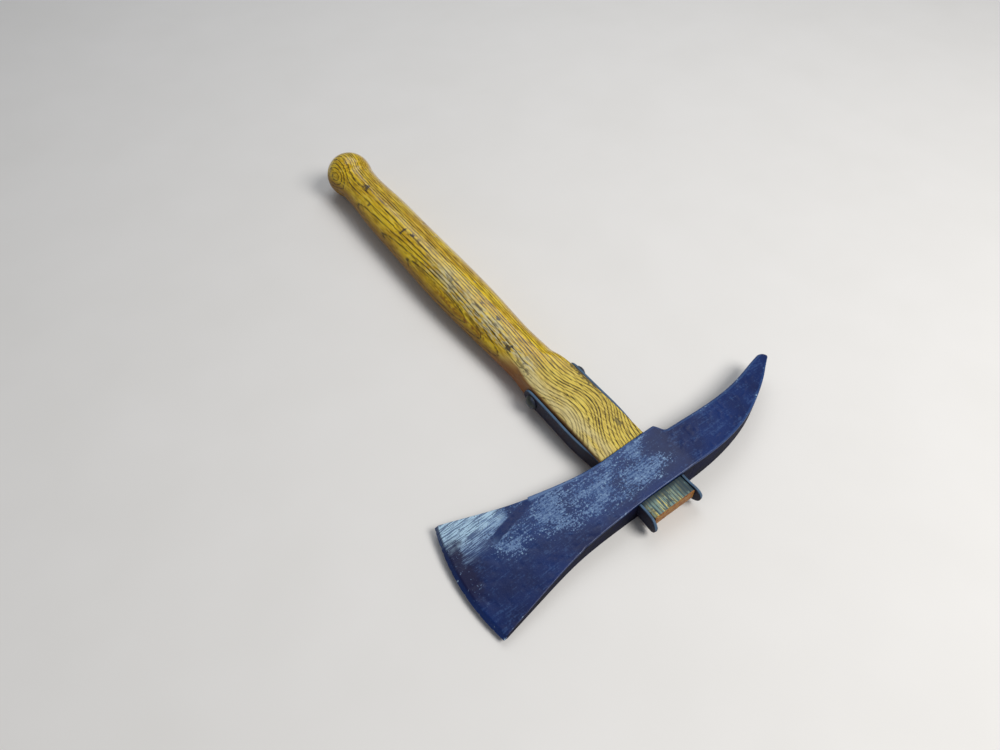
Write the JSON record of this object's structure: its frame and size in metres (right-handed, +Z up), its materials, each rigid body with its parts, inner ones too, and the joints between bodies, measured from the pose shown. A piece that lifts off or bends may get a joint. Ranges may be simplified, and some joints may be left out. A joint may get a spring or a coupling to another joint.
{
  "type": "fire axe",
  "caption": "Fireman's hand axe: painted steel head with flared blade and curved pick, on an ash haft held by two riveted side straps.",
  "frame": {"origin": "centre of the axe's footprint box, on the surface it lies on", "axes": "+X from the pick's tip towards the cutting edge, +Y along the haft from the knob to the crown, +Z up off the surface"},
  "size_m": [0.2514, 0.4048, 0.0366],
  "materials": {
    "head_paint": "worn dark blue brushed enamel over pitted forged steel",
    "ash": "yellow varnished ash, worn and stained",
    "strap_paint": "dark blue-black enamel over flat steel bar",
    "rivet_steel": "dark painted steel"
  },
  "bodies": {
    "root": {"axe_head": "head_paint", "haft": "ash", "front_strap": "strap_paint", "rear_strap": "strap_paint", "strap_rivet": "rivet_steel"}
  },
  "joints": []
}
